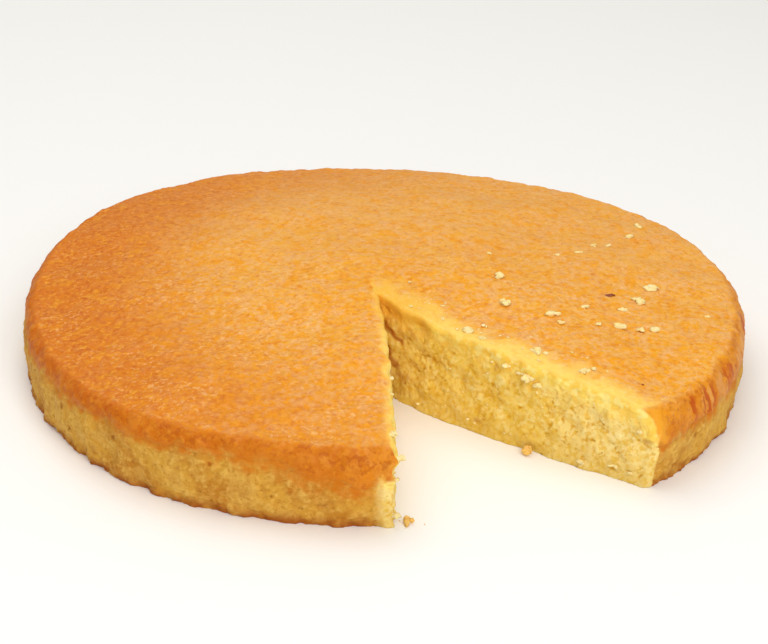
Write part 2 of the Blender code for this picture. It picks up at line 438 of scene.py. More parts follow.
def hem_height(azimuth):
    """Height of the crust's lower edge at each azimuth: straight runs between the named heights,
    plus fine waves."""
    angles, heights = zip(*HEM_POINTS)
    slow = np.interp(azimuth, np.radians(angles), heights, period=TURN)
    edge = CRUST_RADIUS * np.stack([np.cos(azimuth), np.sin(azimuth), 0.0 * azimuth], axis=-1)
    return slow + HEM_RIPPLE * ripple(edge, HEM_RIPPLE_SIZE, 11)


def dome(radius):
    """Height of the turned form's top at each radius: a softened power of the radius falls away."""
    power = DOME_POWER / 2.0
    soft = DOME_SOFTNESS**2
    share = radius / (CRUST_RADIUS - SHOULDER_WIDTH)
    fall = ((share**2 + soft) ** power - soft**power) / ((1.0 + soft) ** power - soft**power)
    return HEIGHT_AT_MIDDLE - (HEIGHT_AT_MIDDLE - HEIGHT_AT_RIM) * fall


def side_radius(height, inset=0.0):
    """Radius of the side at each height: a quarter ellipse on a leaning wall, both moved inwards."""
    waist = HEIGHT_AT_RIM - SHOULDER_HEIGHT
    rise = np.clip((height - waist) / (SHOULDER_HEIGHT - inset), 0.0, 1.0)
    shoulder = CRUST_RADIUS - SHOULDER_WIDTH + (SHOULDER_WIDTH - inset) * np.sqrt(1.0 - rise**2)
    wall = BASE_RADIUS + (CRUST_RADIUS - BASE_RADIUS) * height / waist - inset
    return np.where(height > waist, shoulder, wall)


def baked(x, y, z):
    """The turned form's points moved to the uneven form of the baked cake: the radius and the rim's
    height follow their waves, the top its swells, the side its lumps and foot lobes."""
    points = np.stack([x, y, z], axis=-1)
    radius = np.hypot(x, y)
    azimuth = np.arctan2(y, x)
    edge = SHOULDER_WIDTH
    lump, lump_size = SIDE_LUMPS
    lobe, lobe_size = FOOT_LOBES
    foot = smooth(FOOT_LOBE_HEIGHT, 0.0, z)
    outside = smooth(CRUST_RADIUS - 2.0 * edge, CRUST_RADIUS - 0.5 * edge, radius)
    out = outside * (lump * ripple(points, lump_size, 3) + foot * lobe * ripple(points, lobe_size, 4))
    out += waves(azimuth, RADIUS_WAVES) * radius / CRUST_RADIUS
    swell, swell_size = TOP_SWELL
    bump, bump_size = TOP_BUMPS
    inside = smooth(CRUST_RADIUS, CRUST_RADIUS - 2.0 * edge, radius)
    lift = inside * (swell * ripple(points, swell_size, 1) + bump * ripple(points, bump_size, 2))
    lift += TIP_LIFT * np.exp(-((np.hypot(x - TIP[0], y - TIP[1]) / TIP_LIFT_REACH) ** 2))
    lift += waves(azimuth, RIM_HEIGHT_WAVES) * (radius / CRUST_RADIUS) ** DOME_POWER
    grow = 1.0 + out / np.maximum(radius, 1.0)
    return np.stack([x * grow, y * grow, z + smooth(0.0, HEIGHT_AT_RIM, z) * lift], axis=-1)


def unbaked(x, y):
    """The turned form's plan place of a baked plan place: the radius waves are taken off again."""
    shrink = 1.0 / (1.0 + waves(np.arctan2(y, x), RADIUS_WAVES) / CRUST_RADIUS)
    return x * shrink, y * shrink


def cut_plan(side, distance):
    """Plan places on a knife face at each distance from the tip: a straight line that bows towards
    the opening. side is 1 for the left-hand face and -1 for the right-hand one."""
    azimuth, bow = (LEFT_CUT_AZIMUTH, LEFT_BOW) if side > 0 else (RIGHT_CUT_AZIMUTH, RIGHT_BOW)
    along = np.array([math.cos(math.radians(azimuth)), math.sin(math.radians(azimuth))])
    inward = np.dot(TIP, along)
    length = math.sqrt(inward**2 - np.dot(TIP, TIP) + BASE_RADIUS**2) - inward
    bulge = side * bow * np.sin(math.pi * np.clip(distance / length, 0.0, 1.0) ** BOW_SKEW)
    return (
        TIP[0] + along[0] * distance - along[1] * bulge,
        TIP[1] + along[1] * distance + along[0] * bulge,
    )


def off_knife(points):
    """Distance of each point from the nearer knife face, or from the tip where that is nearest."""
    from_tip = points[..., :2] - TIP
    nearest = np.hypot(from_tip[..., 0], from_tip[..., 1])
    for side in (-1, 1):
        along = from_tip @ np.array((-side * AWAY[side][1], side * AWAY[side][0]))
        straight = from_tip @ AWAY[side]
        face_x, face_y = cut_plan(side, np.maximum(along, 0.0))
        bulge = np.stack([face_x - TIP[0], face_y - TIP[1]], axis=-1) @ AWAY[side]
        nearest = np.where(along > 0.0, np.minimum(nearest, np.abs(straight - bulge)), nearest)
    return nearest


def under_skin(x, y, z, below_hem=0.0):
    """How deep each point of the turned form lies under the browned skin: below the top, or in from
    the side. Lower than this far below the crust's lower edge the depth grows fast."""
    radius = np.hypot(x, y)
    top = dome(np.minimum(radius, CRUST_RADIUS - SHOULDER_WIDTH)) - z
    past_hem = np.maximum(hem_height(np.arctan2(y, x)) - below_hem - z, 0.0)
    side = np.maximum(side_radius(z) - radius, 0.0) + SIDE_SKIN + PAST_HEM_STEEPNESS * past_hem
    return np.minimum(top, side)


def cut_corner(side, height, inset):
    """Where a knife face meets the side at each height, as the distance from the tip and the azimuth:
    the distance grows by what the radius still lacks, until nothing is lacking."""
    distance = np.full(np.shape(height), CRUST_RADIUS + TIP[1])
    for _ in range(10):
        x, y = unbaked(*cut_plan(side, distance))
        distance = distance + side_radius(height, inset) - np.hypot(x, y)
    azimuth = np.arctan2(y, x)
    return distance, np.where(side > 0, azimuth % TURN, azimuth)


def flare(points):
    """How far the right-hand knife face leans out into the gap near the foot, as plan vectors."""
    middle = math.radians(0.5 * (LEFT_CUT_AZIMUTH + RIGHT_CUT_AZIMUTH))
    right = math.radians(RIGHT_CUT_AZIMUTH)
    from_tip = points[..., :2] - TIP
    on_right = from_tip @ np.array([-math.sin(middle), math.cos(middle)]) > 0.0
    reach = from_tip @ np.array([math.cos(right), math.sin(right)])
    amount = RIGHT_FOOT_FLARE * smooth(RIGHT_FOOT_FLARE_HEIGHT, 0.0, points[..., 2])
    amount = amount * smooth(0.0, RIGHT_FOOT_FLARE_FROM, reach) * on_right
    return amount[..., None] * np.array([-math.sin(right), math.cos(right)])


def tears(points):
    """How far the left-hand knife face wanders near its outer edge, where it tore, as plan vectors."""
    deep, size, start, full = EDGE_TEARS
    left = math.radians(LEFT_CUT_AZIMUTH)
    reach = (points[..., :2] - TIP) @ np.array([math.cos(left), math.sin(left)])
    wander = ripple(points, size, 7) + 0.6 * ripple(points, 0.45 * size, 8)
    return (deep * smooth(start, full, reach) * wander)[..., None] * AWAY[1]


def knife_relief(points):
    """How far the cut faces wander from the knife's plane, as plan vectors."""
    height, size = CRUMB_RELIEF
    sideways = np.stack([ripple(points, size, 5), ripple(points, size, 6)], axis=-1)
    return height * sideways - flare(points) + tears(points)


# ---------------------------------------------------------------------------------------------
# Meshes


def new_piece(name, points, faces, material):
    """A mesh object at the origin, smooth shaded, from points in mm."""
    mesh = bpy.data.meshes.new(name)
    mesh.from_pydata((points * MM).tolist(), [], faces)
    mesh.shade_smooth()
    mesh.materials.append(material)
    mesh.update()
    piece = bpy.data.objects.new(name, mesh)
    bpy.context.scene.collection.objects.link(piece)
    return piece


def point_normals(mesh):
    """The outward direction at each vertex."""
    flat = np.empty(len(mesh.vertices) * 3, np.float32)
    mesh.vertex_normals.foreach_get("vector", flat)
    return flat.reshape(-1, 3).astype(float)


def wall_normals(points):
    """Level outward directions of a closed wall: each column's neighbours give the way along it."""
    along = np.roll(points, -1, axis=1) - np.roll(points, 1, axis=1)
    outward = np.stack([along[..., 1], -along[..., 0], 0.0 * along[..., 0]], axis=-1)
    return outward / np.linalg.norm(outward, axis=-1, keepdims=True)


def place_points(mesh, points):
    """Moves a mesh's vertices to points in mm."""
    mesh.vertices.foreach_set("co", (points * MM).ravel())
    mesh.update()


def keep_share(mesh, name, values):
    """A number at each vertex, which the material reads as an attribute."""
    attribute = mesh.attributes.new(name, "FLOAT", "POINT")
    attribute.data.foreach_set("value", np.ravel(values).astype(np.float32))


def wall_plan():
    """Turned-form points of the sponge's wall, rows by columns: from the tip along the right-hand
    knife face, round the rim and back along the left-hand face. Each row is at its share of the
    height under the crust. Also returns how far the crust covers each point."""
    shares = np.linspace(0.0, 1.0, WALL_ROWS + 1)[:, None]
    flat_radius = CRUST_RADIUS - SHOULDER_WIDTH
    rim_height = shares * (HEIGHT_AT_RIM - SPONGE_INSET)
    inset = SPONGE_INSET + FOOT_CHAMFER * (shares == 0.0)
    corners = {side: cut_corner(side, rim_height, inset) for side in (-1, 1)}

    faces = {}
    steps = np.arange(CUT_COLUMNS)[None, :] / CUT_COLUMNS
    for side, share in ((-1, steps), (1, 1.0 - steps)):
        distance = share * corners[side][0]
        top_x, top_y = unbaked(*cut_plan(side, share * corners[side][0][-1:]))
        top = dome(np.minimum(np.hypot(top_x, top_y), flat_radius)) - SPONGE_INSET
        x, y = unbaked(*cut_plan(side, distance))
        faces[side] = np.stack([x, y, shares * top], axis=-1)

    start, end = corners[-1][1], corners[1][1]
    azimuth = start + (end - start) * np.arange(RIM_COLUMNS)[None, :] / RIM_COLUMNS
    from_corner = CRUST_RADIUS * np.minimum(azimuth - start, end - azimuth)[-1]
    height = rim_height + 0.0 * azimuth
    seam = hem_height(azimuth) - PALE_SKIN_HEIGHT
    low, high = HIDDEN_OVER_SEAM
    hidden = smooth(0.0, HIDDEN_OFF_CORNER, from_corner) * smooth(seam + low, seam + high, height)
    stand_back = inset + (SPONGE_INSET_HIDDEN - SPONGE_INSET) * hidden
    radius = side_radius(height, stand_back)
    rim = np.stack([radius * np.cos(azimuth), radius * np.sin(azimuth), height], axis=-1)

    points = np.concatenate([faces[-1], rim, faces[1]], axis=1)
    bare = np.zeros((WALL_ROWS + 1, CUT_COLUMNS))
    low, high = COVERED_OVER_SEAM
    covered = np.concatenate([bare, smooth(seam + low, seam + high, height), bare], axis=1)
    return points, covered


def wall_faces(rows, columns):
    """Quads of a wall that closes on itself, and a fan to a hub point below it and to one above."""
    corner = np.arange(rows)[:, None] * columns + np.arange(columns)
    beside = np.roll(corner, -1, axis=1)
    quads = np.stack([corner, beside, beside + columns, corner + columns], axis=-1)
    low_hub = (rows + 1) * columns + 0 * corner[0]
    below = np.stack([beside[0], corner[0], low_hub], axis=-1)
    above = np.stack([corner[-1] + columns, beside[-1] + columns, low_hub + 1], axis=-1)
    return quads.reshape(-1, 4).tolist() + below.tolist() + above.tolist()


def torn_crumb(points):
    """Relief of crumb that a knife tore, and how hollow each point lies: bent clumps of 3 mm, on them
    a network of thin walls round cells of 2 mm, less open pores of three sizes."""
    bent = bend(points, 2.6, 0.5, 61)
    clump, own = strewn(bent, 3.4, 21)
    cell, _ = strewn(bent, 1.9, 22)
    speck, _ = strewn(points, 1.0, 26)
    small = pits(bent, 1.7, 0.1, 0.8, 23)
    middle = pits(bent, 3.0, 0.2, 1.2, 27)
    holes = pits(bent * (0.7, 0.7, 1.4), 5.0, 0.2, 1.5, 24)
    billow = 0.4 * (0.55 - clump) + 0.5 * (cell - 0.52) + 0.3 * (0.52 - speck) + 0.4 * (own - 0.5)
    relief = 0.85 * billow - 0.35 * small - 0.4 * middle - 0.65 * holes
    hollow = 0.4 - 0.9 * billow + 0.4 * small + 0.4 * middle + 0.5 * holes
    return relief, np.clip(hollow, 0.0, 1.0)


def tin_side(points):
    """Relief of the side that baked against the tin, and how hollow each point lies: low bent clumps
    and beads, small pits and a few larger ones."""
    bent = bend(points, 3.0, 0.5, 64)
    clump, _ = strewn(bent, 3.6, 31)
    bead, own = strewn(bent, 1.7, 32)
    small = pits(bent, 2.4, 0.1, 0.8, 33)
    large = pits(bent, 7.0, 0.2, 1.4, 34)
    billow = 0.5 * (0.55 - clump) + 0.45 * (0.52 - bead) + 0.2 * (own - 0.5)
    relief = billow - 0.35 * small - 0.6 * large
    hollow = 0.4 - 0.9 * billow + 0.45 * small + 0.8 * large
    return relief, np.clip(hollow, 0.0, 1.0)


def calm_share(depth, points):
    """How strongly the knife tore the crumb: less in the moist band under the crust."""
    return 0.65 + 0.35 * smooth(1.5, 6.0, depth + 1.5 * ripple(points, 9.0, 25))


def window(azimuth, middle, half_width):
    """1 near an azimuth in degrees, with a soft fall to 0 at the half width."""
    gap = np.abs((azimuth - math.radians(middle) + 0.5 * TURN) % TURN - 0.5 * TURN)
    return smooth(math.radians(half_width), 0.4 * math.radians(half_width), gap)


def drips(azimuth, height):
    """Drips of syrup down the shoulder: -1 in dark ones and 1 in pale ones. The unrolled rim is cut
    into upright strips, each with its own number and soft edges, that waver a little."""
    opening = math.radians(0.5 * (LEFT_CUT_AZIMUTH + RIGHT_CUT_AZIMUTH))
    round_rim = CRUST_RADIUS * ((azimuth - opening) % TURN)
    unrolled = np.stack([round_rim, height, 0.0 * height], axis=-1)
    unrolled[..., 0] += 0.4 * ripple(unrolled, 6.0, 56)
    near, own = strewn(unrolled * (1.0, 0.0, 0.0), DRIP_WIDTH, 45)
    return (2.0 * own - 1.0) * smooth(0.9, 0.4, near) * window(azimuth, *DRIPPED)


def below_hem(azimuth, height):
    """How far each point lies below the crust's ragged lower edge, as a share of the reach over which
    the browning fades: negative above the edge, 1 where nothing browned is left."""
    rim = CRUST_RADIUS * np.stack([np.cos(azimuth), np.sin(azimuth), 0.0 * azimuth], axis=-1)
    rim[..., 2] = height
    ragged = hem_height(azimuth) - height + 1.1 * ripple(rim, 7.5, 46) + 0.8 * ripple(rim, 3.0, 47)
    ragged += 1.6 * drips(azimuth, height)
    middle, half_width, longest = SLOW_FADE
    reach = FADE_REACH + (longest - FADE_REACH) * window(azimuth, middle, half_width)
    return ragged / reach


def knife_place(side, distance, height):
    """Place on a knife face, at a distance from the tip and a height."""
    x, y = cut_plan(side, np.array(distance))
    return np.array((x, y, height))


def stain_and_hole_shade_share(points):
    """How strongly each point is stained, or painted with the shade of a hole: soft smears round
    short lines between two places, and round spots, which are lines of no length."""
    smears = [
        (knife_place(-1, *line[:2]), knife_place(-1, *line[2:4]), *line[4:]) for line in CUT_STAINS_AND_HOLE_SHADE
    ]
    smears += [(np.array(spot[:3]), np.array(spot[:3]), *spot[3:]) for spot in SIDE_STAINS]
    bent = bend(points, 4.0, 0.5, 81)
    share = np.zeros(points.shape[:-1])
    for start, end, radius, strength in smears:
        way = end - start
        along = np.clip((bent - start) @ way / max(way @ way, 0.01), 0.0, 1.0)
        gap = np.linalg.norm(bent - start - along[..., None] * way, axis=-1)
        share = np.maximum(share, strength * np.exp(-((gap / radius) ** 2)))
    return share


def from_tip(points):
    """Distance from the tip of the cut in tenths of a metre, since near it the colours deepen, on the
    knife faces as painted shade and bounce light of the cut's inner corner.
    """
    return 0.01 * np.hypot(points[..., 0] - TIP[0], points[..., 1] - TIP[1])


def make_sponge(material):
    """The sponge: the wall with its relief, closed by fans to the two hubs, flat below and hidden
    under the crust above, where its upper edge turns in. Near an outer corner each column moves to
    the mean of the columns round it, which rounds the corner."""
    turned, covered = wall_plan()
    turned = np.concatenate([turned, turned[-1:]])
    covered = np.concatenate([covered, covered[-1:]])
    x, y, z = np.moveaxis(turned, -1, 0)
    depth = under_skin(x, y, z)
    lipped = smooth(*LIP_COVER, under_skin(x, y, z, PALE_SKIN_HEIGHT - LIP_OVER_SEAM))
    points = baked(x, y, z)
    off_cut = off_knife(points)
    points[..., :2] += smooth(KNIFE_REACH, 0.0, off_cut)[..., None] * knife_relief(points)
    rows, columns = depth.shape
    square = points.copy()
    for corner, step in itertools.product((CUT_COLUMNS, CUT_COLUMNS + RIM_COLUMNS), CORNER_STEPS):
        column = corner + step
        around = square[:, column - CORNER_COLUMNS : column + CORNER_COLUMNS + 1]
        points[:, column] = around.mean(axis=1)
    outward = wall_normals(points)
    torn, torn_hollow = torn_crumb(points)
    plain, plain_hollow = tin_side(points)
    knife = smooth(*SPONGE_TEAR, off_cut)
    calm = calm_share(depth, points)
    ragged = 1.0 + 0.9 * smooth(*ROUGH_FOOT, points[..., 2])
    relief = knife * calm * torn + (1.0 - knife) * (1.0 - covered) * ragged * plain
    hollow = knife * (0.4 + calm * (torn_hollow - 0.4)) + (1.0 - knife) * plain_hollow
    for row in reversed(range(FOOT_ROWS)):
        relief[row] = np.maximum(relief[row], relief[row + 1])
    bare_reach = np.where(np.arange(columns) < CUT_COLUMNS + RIM_COLUMNS // 2, *BARE_REACH)
    # What the material reads: the wall's values, then those of the low hub and of the high one.
    shares = {
        "hollow": (hollow, 0.5, 0.5),
        "bare": (smooth(bare_reach, BARE_WHOLE, off_cut), 0.0, 0.0),
        "depth": (depth * CM, FAR, 0.0),
        "height": (points[..., 2] * CM, 0.0, FAR),
        "below_hem": (below_hem(np.arctan2(y, x), z), FAR, FAR),
        "stain_and_hole_shade": (stain_and_hole_shade_share(points), 0.0, 0.0),
        "from_tip": (from_tip(points), 0.0, 0.0),
    }
    points += outward * ((1.0 - 0.8 * lipped * knife) * relief - knife * lipped)[..., None]
    points[-1] -= outward[-1] * TOP_TUCK + (0.0, 0.0, TOP_DROP)
    all_points = np.concatenate([points.reshape(-1, 3), HUBS])
    piece = new_piece("sponge", all_points, wall_faces(rows - 1, columns), material)
    for name, (values, *at_hubs) in shares.items():
        keep_share(piece.data, name, np.append(values, at_hubs))
    return piece


def ray_share(ray):
    """Share of the turn at each ray: rays crowd towards both knife faces."""
    reach = RAY_CROWDING_REACH
    crowd = RAY_CROWDING * reach * (np.exp(-ray / reach) - np.exp(-(1.0 - ray) / reach))
    ends = RAY_CROWDING * reach * (1.0 - math.exp(-1.0 / reach))
    return (ray + crowd - ends) / (1.0 - 2.0 * ends)


def crust_grid():
    """(ray, row, fold) of each vertex of the crust from the tip outwards, and the rays in each row.
    Rows nearer the tip than half, a quarter and so on have half the rays, a quarter and so on. fold
    counts the lip's columns down the knife face from each end of a row, and from the tip."""
    counts = []
    for row in range(CRUST_ROWS + HEM_ROWS + 1):
        count = CRUST_RAYS
        while count > FEWEST_RAYS and row * CRUST_RAYS < 0.55 * CRUST_ROWS * count:
            count //= 2
        counts.append(count)
    down = np.arange(LIP_COLUMNS, 0, -1.0)
    rays, folds = [np.full(LIP_COLUMNS + 1, 0.5)], [np.append(down, 0.0)]
    for count in counts[1:]:
        rays.append(np.concatenate([0.0 * down, np.linspace(0.0, 1.0, count + 1), 0.0 * down + 1.0]))
        folds.append(np.concatenate([down, np.zeros(count + 1), down[::-1]]))
    rows = [np.full(len(ray), float(row)) for row, ray in enumerate(rays)]
    return np.concatenate(rays), np.concatenate(rows), np.concatenate(folds), counts


def crust_faces(counts):
    """A fan at the tip, quads between rows of as many rays, and five-sided faces where the next row
    has twice as many. The lips are strips of quads. A last fan joins the whole border to a hub point
    below, so that the crust is closed."""
    lip = LIP_COLUMNS
    widths = [count + 1 + 2 * lip for count in counts[1:]]
    starts = np.concatenate([[0, lip + 1], lip + 1 + np.cumsum(widths)])
    right = [np.arange(lip + 1)] + [start + np.arange(lip + 1) for start in starts[1:-1]]
    left = [np.arange(lip, -1, -1)]
    left += [start + lip + count + np.arange(lip + 1) for start, count in zip(starts[1:-1], counts[1:])]
    faces = [[lip, starts[1] + lip + ray, starts[1] + lip + ray + 1] for ray in range(counts[1])]
    for row, (inner, outer) in enumerate(zip(counts[1:-1], counts[2:]), 1):
        near = starts[row] + lip + np.arange(inner)
        far = starts[row + 1] + lip + np.arange(inner) * (outer // inner)
        steps = [far + step for step in range(outer // inner + 1)]
        faces.extend(np.stack([near, *steps, near + 1], axis=-1).tolist())
    for strip in (right, left):
        for near, far in zip(strip[:-1], strip[1:]):
            faces.extend(np.stack([near[:-1], far[:-1], far[1:], near[1:]], axis=-1).tolist())
    last = np.arange(starts[-2], starts[-1])
    border = [strip[0] for strip in right[:-1]] + last.tolist() + [strip[-1] for strip in left[-2:0:-1]]
    hub = starts[-1] + 0 * np.array(border)
    faces.extend(np.stack([np.roll(border, -1), border, hub], axis=-1).tolist())
    return faces


def lip_drop(fold, dive):
    """How far down the knife face each point of the lip lies, and how far into the cake: round a
    quarter circle, straight down, then in by the square of the way on, and in at the border."""
    angle = 0.5 * math.pi * np.minimum(fold / ARC_COLUMNS, 1.0)
    down = EDGE_RADIUS * (1.0 - np.cos(angle)) + LIP_STEP * np.maximum(fold - ARC_COLUMNS, 0.0)
    recess = EDGE_RADIUS * (1.0 - np.sin(angle)) - LIP_PROUD * (fold > ARC_COLUMNS)
    recess += LIP_DIVE * np.maximum(down - LIP_FLUSH, 0.0) ** 2
    return down, recess + BORDER_TUCK * dive * (fold > 0)


def lip_end(side, flat_length, row, height, side_inset, down, recess):
    """Where each row of the crust ends at a knife face: the azimuth of its end on the side, and x, y
    and z of the lip's points, which follow the face out to the rim and then down the side."""
    beyond = row > CRUST_ROWS
    out = np.minimum(row / CRUST_ROWS, 1.0)
    lean = 0.5 * math.pi * smooth(CRUST_ROWS - LEAN_ROWS, CRUST_ROWS + HEM_ROWS, row)
    side_length, side_end = cut_corner(side, height, side_inset)
    length = np.where(beyond, side_length, out * flat_length)
    edge_x, edge_y = unbaked(*cut_plan(side, length))
    rise = np.where(beyond, height, dome(np.hypot(edge_x, edge_y)))
    cut_x, cut_y = cut_plan(side, length - down * np.sin(lean))
    away_x, away_y = AWAY[side]
    cut_x, cut_y = unbaked(cut_x + recess * away_x, cut_y + recess * away_y)
    return side_end, cut_x, cut_y, rise - down * np.cos(lean)


def crust_plan(ray, row, fold):
    """Turned-form points of the crust. On the top they lie on straight rays from the tip, which bend
    near a knife face to follow its bow. Over the shoulder they go round the quarter ellipse and down
    to the hem, where the border turns in. At each knife face the edge is rounded: the lip's columns
    go round a quarter circle and on down the face, and its border turns in too. Also returns how far
    down the face each point of the lip lies."""
    flat_radius = CRUST_RADIUS - SHOULDER_WIDTH
    turn = ray_share(ray)
    out = np.minimum(row / CRUST_ROWS, 1.0)
    over = np.maximum((row - CRUST_ROWS) / HEM_ROWS, 0.0)
    beyond = row > CRUST_ROWS

    flat_ends = {side: cut_corner(side, np.array(HEIGHT_AT_RIM), 0.0) for side in (-1, 1)}
    spread = EDGE_RADIUS / CRUST_RADIUS
    edges = {side: flat_ends[side][1] - side * spread for side in (-1, 1)}
    azimuth = edges[-1] + turn * (edges[1] - edges[-1])
    hem = hem_height(azimuth)
    seam = hem - PALE_SKIN_HEIGHT
    height = HEIGHT_AT_RIM - (HEIGHT_AT_RIM - seam) * (1.0 - np.cos(0.5 * math.pi * over))
    dive = np.clip(1.0 - (height - seam) / BORDER_DIVE, 0.0, 1.0) ** 2
    side_inset = PALE_SKIN_INSET * smooth(PALE_SKIN_STEP, -PALE_SKIN_STEP, height - hem)
    side_inset += BORDER_TUCK * dive
    down, recess = lip_drop(fold, dive)
    ends = {
        side: lip_end(side, flat_length, row, height, side_inset, down, recess)
        for side, (flat_length, _) in flat_ends.items()
    }

    tip_x, tip_y = unbaked(TIP[0] + EDGE_RADIUS * AWAY[0][0], TIP[1] + EDGE_RADIUS * AWAY[0][1])
    x = tip_x + out * (flat_radius * np.cos(azimuth) - tip_x)
    y = tip_y + out * (flat_radius * np.sin(azimuth) - tip_y)
    for side, away in ((-1, turn), (1, 1.0 - turn)):
        _, cut_x, cut_y, _ = ends[side]
        follow = smooth(BOW_FOLLOWING, 0.0, away) * (row > 0)
        x += follow * (cut_x - tip_x - out * (flat_radius * np.cos(edges[side]) - tip_x))
        y += follow * (cut_y - tip_y - out * (flat_radius * np.sin(edges[side]) - tip_y))
    z = dome(np.hypot(x, y))

    side_azimuth = ends[-1][0] + spread + turn * (ends[1][0] - ends[-1][0] - 2.0 * spread)
    radius = side_radius(height, side_inset)
    x = np.where(beyond, radius * np.cos(side_azimuth), x)
    y = np.where(beyond, radius * np.sin(side_azimuth), y)
    z = np.where(beyond, height, z)

    on_lip = fold > 0
    for side, at_side in ((-1, ray < 0.5), (1, ray > 0.5)):
        chosen = on_lip & at_side
        _, cut_x, cut_y, rise = ends[side]
        x, y, z = (np.where(chosen, new, old) for new, old in zip((cut_x, cut_y, rise), (x, y, z)))
    at_tip = on_lip & (row == 0)
    tip_x, tip_y = unbaked(TIP[0] + recess * AWAY[0][0], TIP[1] + recess * AWAY[0][1])
    x, y = np.where(at_tip, tip_x, x), np.where(at_tip, tip_y, y)
    z = np.where(at_tip, dome(math.hypot(*TIP)) - down, z)
    return x, y, z, down * on_lip


def crust_relief(points, shoulder, drip):
    """Relief of the browned skin and how hollow each point of it lies: a low ripple, blisters of 4 mm,
    beads and pores of 2 mm, stronger on the shoulder, where the drips stand out."""
    bent = bend(points, 5.0, 0.6, 52)
    blister, own = strewn(bent, 4.2, 43)
    bead, _ = strewn(bent, 2.1, 44)
    pore = pits(bent, 2.6, 0.1, 1.1, 48)
    rough = 0.75 + 0.25 * ripple(points, 30.0, 49)
    fine = 0.3 * (0.55 - blister) + 0.3 * (0.52 - bead) - 0.2 * pore + 0.1 * (own - 0.5)
    relief = 0.12 * ripple(points, 7.0, 41) + rough * fine
    relief += shoulder * (0.3 * (0.55 - blister) + 0.25 * (0.52 - bead) + 0.15 * ripple(points, 9.0, 50))
    hollow = np.clip(0.4 - 2.2 * fine + 0.35 * pore, 0.0, 1.0)
    return relief + 0.1 * shoulder * drip, hollow


def amber_gap(gap, row, on_left):
    """Distance from the edge of the cut, negative down the knife face, as the amber edge sees it: on
    the left that edge is narrower, and at the shoulder the browning goes on further down the face."""
    gap = np.where((gap > 0.0) & on_left, LEFT_EDGE_NARROWING * gap + LEFT_EDGE_FADING, gap)
    at_shoulder = row > CRUST_ROWS - 6
    return np.where((gap < 0.0) & on_left & at_shoulder, gap / LEFT_EDGE_LENGTHENING, gap)


def make_crust(material):
    """The crust: the browned skin with its fine relief, over the top and shoulder, with the lips that
    run down the knife faces in the sponge's own relief."""
    ray, row, fold, counts = crust_grid()
    x, y, z, down = crust_plan(ray, row, fold)
    points = baked(x, y, z)
    off_cut = off_knife(points)
    points[:, :2] += smooth(KNIFE_REACH, 0.0, off_cut)[:, None] * knife_relief(points)
    all_points = np.concatenate([points, [CRUST_HUB]])
    piece = new_piece("crust", all_points, crust_faces(counts), material)

    normal = point_normals(piece.data)[:-1]
    side = np.where(row == 0, 0, np.where(ray < 0.5, -1, 1))
    out_of_cake = -np.array([AWAY[-1], AWAY[0], AWAY[1]])[side + 1]
    level = np.stack([out_of_cake[:, 0], out_of_cake[:, 1], 0.0 * down], axis=-1)
    normal = np.where((fold > ARC_COLUMNS)[:, None], level, normal)
    radius = np.hypot(x, y)
    azimuth = np.arctan2(y, x)
    shoulder = smooth(CRUST_RADIUS - 1.8 * SHOULDER_WIDTH, CRUST_RADIUS - 0.4 * SHOULDER_WIDTH, radius)
    depth = under_skin(x, y, z)
    below = np.where(row > CRUST_ROWS - 4, below_hem(azimuth, z), -FAR)
    skin = smooth(0.6, -0.4, below)
    drip = drips(azimuth, z) * smooth(*DRIP_HEIGHTS, z)
    fine, skin_hollow = crust_relief(points, shoulder, drip)
    plain, plain_hollow = tin_side(points)
    torn, torn_hollow = torn_crumb(points)
    calm = calm_share(depth, points)
    face = smooth(0.0, EDGE_RADIUS, down)
    gap = off_cut - down
    by_knife = (1.0 - face) * smooth(*CRUST_TEAR, gap)
    weakest, back, front = STIPPLE
    stipple = weakest + (1.0 - weakest) * smooth(back, front, points[:, 1])
    fine = fine * (shoulder + (1.0 - shoulder) * stipple)
    on_left = ray > 0.5
    relief = (1.0 - face) * (skin * fine + (1.0 - skin) * plain) + (face + 0.8 * by_knife) * calm * torn
    hollow = (1.0 - face) * (skin * skin_hollow + (1.0 - skin) * plain_hollow)
    hollow += face * (0.4 + calm * (torn_hollow - 0.4))
    towards = 0.5 + 0.5 * np.cos(azimuth - math.radians(TOAST_AZIMUTH))
    toast = smooth(*TOAST_RADII, radius) ** 1.3 * towards**1.6
    shares = {
        "toast": toast,
        "shoulder": shoulder,
        "below_hem": below,
        "bare": smooth(np.where(on_left, BARE_REACH[1], BARE_REACH[0]), BARE_WHOLE, off_cut),
        "seam": smooth(2.4, 1.0, z - hem_height(azimuth) + PALE_SKIN_HEIGHT) * (row > CRUST_ROWS),
        "hollow": hollow,
        "depth": depth * CM,
        "height": points[:, 2] * CM,
        "drip": drip,
        "off_cut": amber_gap(gap, row, on_left) * CM,
        "stipple": stipple,
        "stain_and_hole_shade": stain_and_hole_shade_share(points),
        "from_tip": from_tip(points),
    }
    for name, values in shares.items():
        keep_share(piece.data, name, np.append(values, 0.0))
    points += normal * relief[:, None]
    place_points(piece.data, np.concatenate([points, [CRUST_HUB]]))
    return piece


